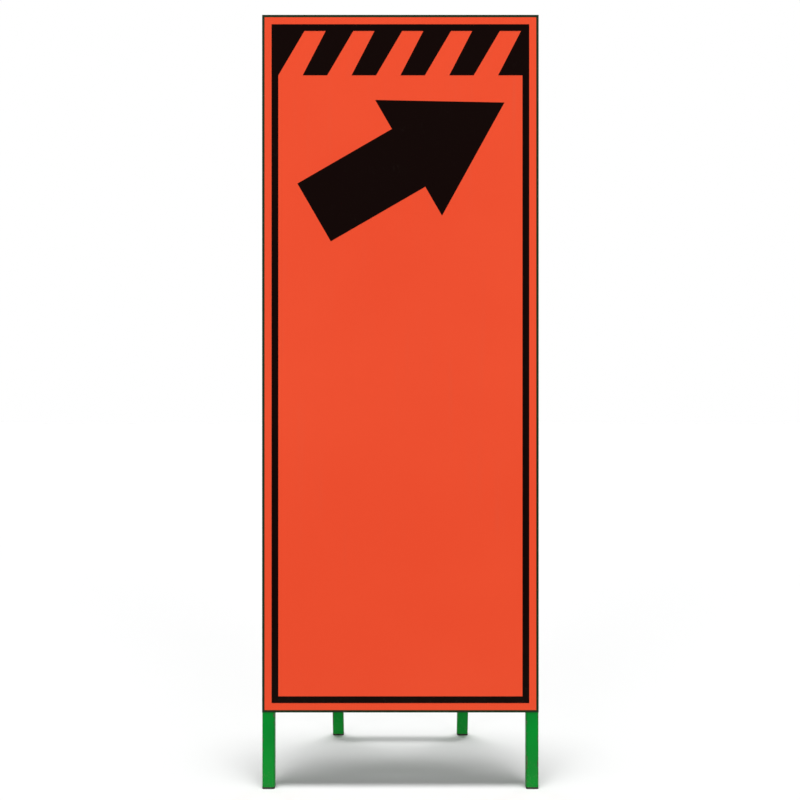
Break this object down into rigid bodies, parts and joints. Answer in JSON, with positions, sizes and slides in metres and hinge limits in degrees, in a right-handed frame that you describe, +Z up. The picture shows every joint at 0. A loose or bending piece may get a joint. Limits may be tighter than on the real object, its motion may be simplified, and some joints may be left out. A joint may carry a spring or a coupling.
{
  "type": "freestanding sign",
  "caption": "Tall orange road-works sign on a green square-tube frame, with a keep-right arrow and a rear leg frame that folds flat.",
  "frame": {"origin": "on the ground, midway between the left and right side and midway between the face and the back of the open rear feet", "axes": "+X to the right as a reader sees the face, +Y from the face to the rear legs, +Z up"},
  "size_m": [0.555, 0.4434, 1.554],
  "materials": {
    "green_paint": "gloss",
    "dark_green_enamel": "satin",
    "orange_sheeting": "satin",
    "black_film": "satin",
    "black_plastic": "matte",
    "zinc_plate": "satin",
    "natural_nylon": "matte"
  },
  "bodies": {
    "front_frame": {"left_post": "green_paint", "right_post": "green_paint", "top_rail": "green_paint", "hinge_rail": "green_paint", "middle_rail": "green_paint", "bottom_rail": "green_paint", "panel_sheet": "dark_green_enamel", "panel_rivets": "zinc_plate", "orange_sheeting": "orange_sheeting", "border_line": "black_film", "hazard_stripes": "black_film", "direction_arrow": "black_film", "left_front_foot": "black_plastic", "right_front_foot": "black_plastic", "left_hinge_bracket": "green_paint", "right_hinge_bracket": "green_paint", "pivot_bolts": "zinc_plate", "pivot_nuts": "zinc_plate", "pivot_washers": "zinc_plate"},
    "rear_frame": {"left_rear_leg": "green_paint", "right_rear_leg": "green_paint", "upper_cross_bar": "green_paint", "lower_cross_bar": "green_paint", "left_rear_foot": "black_plastic", "right_rear_foot": "black_plastic", "left_leg_plug": "black_plastic", "right_leg_plug": "black_plastic", "pivot_bushes": "zinc_plate", "hinge_spacers": "natural_nylon", "stop_sleeves": "zinc_plate", "stop_bolts": "zinc_plate", "stop_nuts": "zinc_plate", "stop_washers": "zinc_plate"}
  },
  "joints": [
    {"name": "rear_frame_fold", "type": "hinge", "parent": "front_frame", "child": "rear_frame", "pos_m": [0, -0.17022, 1.09975], "axis": [-1, 0, 0], "range_deg": [0, 19]}
  ]
}
